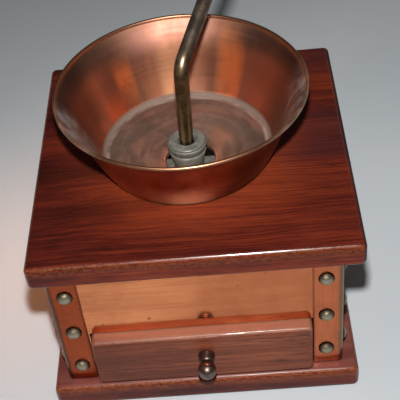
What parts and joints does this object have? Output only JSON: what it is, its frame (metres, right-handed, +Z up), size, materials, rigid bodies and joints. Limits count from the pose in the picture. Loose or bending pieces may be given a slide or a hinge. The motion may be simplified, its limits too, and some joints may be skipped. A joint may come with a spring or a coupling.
{
  "type": "box coffee mill",
  "caption": "Hand-cranked coffee mill: square wooden box clad in nailed copper, open conical copper hopper, bent-rod crank with a wooden grip, and a drawer for the grounds.",
  "frame": {"origin": "centre of the underside of the base board; the crank turns on the Z axis", "axes": "+Z up, the drawer faces -Y, +X to the right of someone facing the drawer"},
  "size_m": [0.1618, 0.1911, 0.2449],
  "materials": {
    "mahogany": "dark red-brown wood, wiped varnish, satin",
    "case_wood": "plain unfinished carcass wood",
    "drawer_wood": "brown stained wood, matte",
    "drawer_box_wood": "plain wood, unfinished",
    "grip_wood": "turned wood, polished by use",
    "copper_sheet": "copper sheet, satin, finely brushed",
    "copper_strap": "copper strap, worn and darkened",
    "copper_bowl": "spun copper, polished wall, tarnished floor",
    "nail_metal": "antiqued nail heads, rubbed bright on top",
    "zinc_casting": "dull plated casting",
    "burr_iron": "bare grey iron",
    "screw_steel": "plain steel",
    "rod_bronze": "dark bronzed round rod, satin",
    "wheel_brass": "turned brass, dulled",
    "knob_brass": "turned brass, dark with age"
  },
  "bodies": {
    "case": {"base_board": "mahogany", "left_wall": "case_wood", "right_wall": "case_wood", "back_wall": "case_wood", "front_rail": "case_wood", "front_panel": "copper_sheet", "left_panel": "copper_sheet", "right_panel": "copper_sheet", "back_panel": "copper_sheet", "strap_front_left": "copper_strap", "strap_front_right": "copper_strap", "strap_back_left": "copper_strap", "strap_back_right": "copper_strap", "strap_nails": "nail_metal", "base_screws": "screw_steel", "top_dowels": "case_wood", "top_board": "mahogany", "hopper_bowl": "copper_bowl", "bearing_bridge": "zinc_casting", "bridge_screws": "screw_steel", "burr_housing": "burr_iron", "housing_screws": "screw_steel", "ring_burr": "burr_iron", "lower_yoke": "burr_iron", "yoke_screws": "screw_steel"},
    "lift": {"thrust_ball": "screw_steel"},
    "adjuster": {"adjusting_screw": "wheel_brass"},
    "crank": {"crank_rod": "rod_bronze", "cone_burr": "burr_iron", "burr_pin": "screw_steel", "grip_pin": "screw_steel", "grip_washer": "screw_steel"},
    "grip": {"wooden_grip": "grip_wood", "grip_ferrule": "wheel_brass"},
    "drawer": {"drawer_front": "drawer_wood", "drawer_left": "drawer_box_wood", "drawer_right": "drawer_box_wood", "drawer_back": "drawer_box_wood", "drawer_bottom": "drawer_box_wood", "drawer_knob": "knob_brass", "knob_screw": "screw_steel"}
  },
  "joints": [
    {"name": "burr_lift", "type": "slide", "parent": "case", "child": "lift", "axis": [0, 0, 1], "range_m": [-0.00125, 0]},
    {"name": "adjuster_turn", "type": "hinge", "parent": "lift", "child": "adjuster", "pos_m": [0, 0, 0.0528], "axis": [0, 0, 1], "range_deg": [-360, 0]},
    {"name": "crank_spin", "type": "hinge", "parent": "lift", "child": "crank", "pos_m": [0, 0, 0.1], "axis": [0, 0, 1], "continuous": true},
    {"name": "grip_spin", "type": "hinge", "parent": "crank", "child": "grip", "pos_m": [0.04033, 0.08269, 0.215], "axis": [0, 0, 1], "continuous": true},
    {"name": "drawer_slide", "type": "slide", "parent": "case", "child": "drawer", "axis": [0, -1, 0], "range_m": [0, 0.105]}
  ],
  "couplings": [
    {"joint": "adjuster_turn", "follows": "burr_lift", "rad_per_m": 5026.5}
  ]
}
